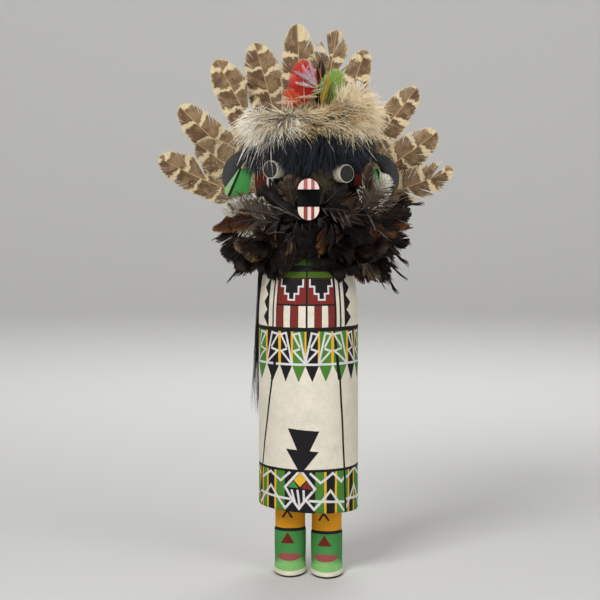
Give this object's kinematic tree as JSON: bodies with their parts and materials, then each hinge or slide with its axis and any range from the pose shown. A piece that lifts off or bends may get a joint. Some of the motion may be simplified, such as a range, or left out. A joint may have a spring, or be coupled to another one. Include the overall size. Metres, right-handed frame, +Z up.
{
  "type": "kachina doll",
  "caption": "Carved and painted standing kachina doll with a beaked mask, dark crescent horns, a fan of tall barred feathers, a fur band and a feather ruff.",
  "frame": {"origin": "on the ground under the middle of the whole object's box", "axes": "+Z up, the face and toes towards -Y, +X to the viewer's right"},
  "size_m": [0.2236, 0.1528, 0.4116],
  "materials": {
    "painted_wood": "matte",
    "snout_paint": "matte",
    "eye_paint": "matte",
    "horn_paint": "matte",
    "ear_paint": "matte",
    "black_hair": "satin",
    "cream_fur": "matte",
    "barred_feather": "matte",
    "crest_feather": "matte",
    "dark_feather": "satin"
  },
  "bodies": {
    "root": {"back_hair": "black_hair", "crest_feather_brown": "crest_feather", "crest_feather_green": "crest_feather", "crest_feather_orange": "crest_feather", "crest_feather_red": "crest_feather", "crest_feather_white": "crest_feather", "crest_feather_yellow": "crest_feather", "ear_left": "ear_paint", "ear_right": "ear_paint", "eye_left": "eye_paint", "eye_right": "eye_paint", "fan_feather_01": "barred_feather", "fan_feather_02": "barred_feather", "fan_feather_03": "barred_feather", "fan_feather_04": "barred_feather", "fan_feather_05": "barred_feather", "fan_feather_06": "barred_feather", "fan_feather_07": "barred_feather", "fan_feather_08": "barred_feather", "fan_feather_09": "barred_feather", "fan_feather_10": "barred_feather", "fan_feather_11": "barred_feather", "figure": "painted_wood", "fur_band": "cream_fur", "hair_fringe": "black_hair", "horn_left": "horn_paint", "horn_right": "horn_paint", "ruff_feather_01": "dark_feather", "ruff_feather_02": "dark_feather", "ruff_feather_03": "dark_feather", "ruff_feather_04": "dark_feather", "ruff_feather_05": "dark_feather", "ruff_feather_06": "dark_feather", "ruff_feather_07": "dark_feather", "ruff_feather_08": "dark_feather", "ruff_feather_09": "dark_feather", "ruff_feather_10": "dark_feather", "ruff_feather_11": "dark_feather", "ruff_feather_12": "dark_feather", "ruff_feather_13": "dark_feather", "ruff_feather_14": "dark_feather", "ruff_feather_15": "dark_feather", "ruff_feather_16": "dark_feather", "ruff_feather_17": "dark_feather", "ruff_feather_18": "dark_feather", "ruff_feather_19": "dark_feather", "ruff_feather_20": "dark_feather", "ruff_feather_21": "dark_feather", "ruff_feather_22": "dark_feather", "ruff_feather_23": "dark_feather", "ruff_feather_24": "dark_feather", "ruff_feather_25": "dark_feather", "ruff_feather_26": "dark_feather", "ruff_feather_27": "dark_feather", "ruff_feather_28": "dark_feather", "snout": "snout_paint"}
  },
  "joints": []
}
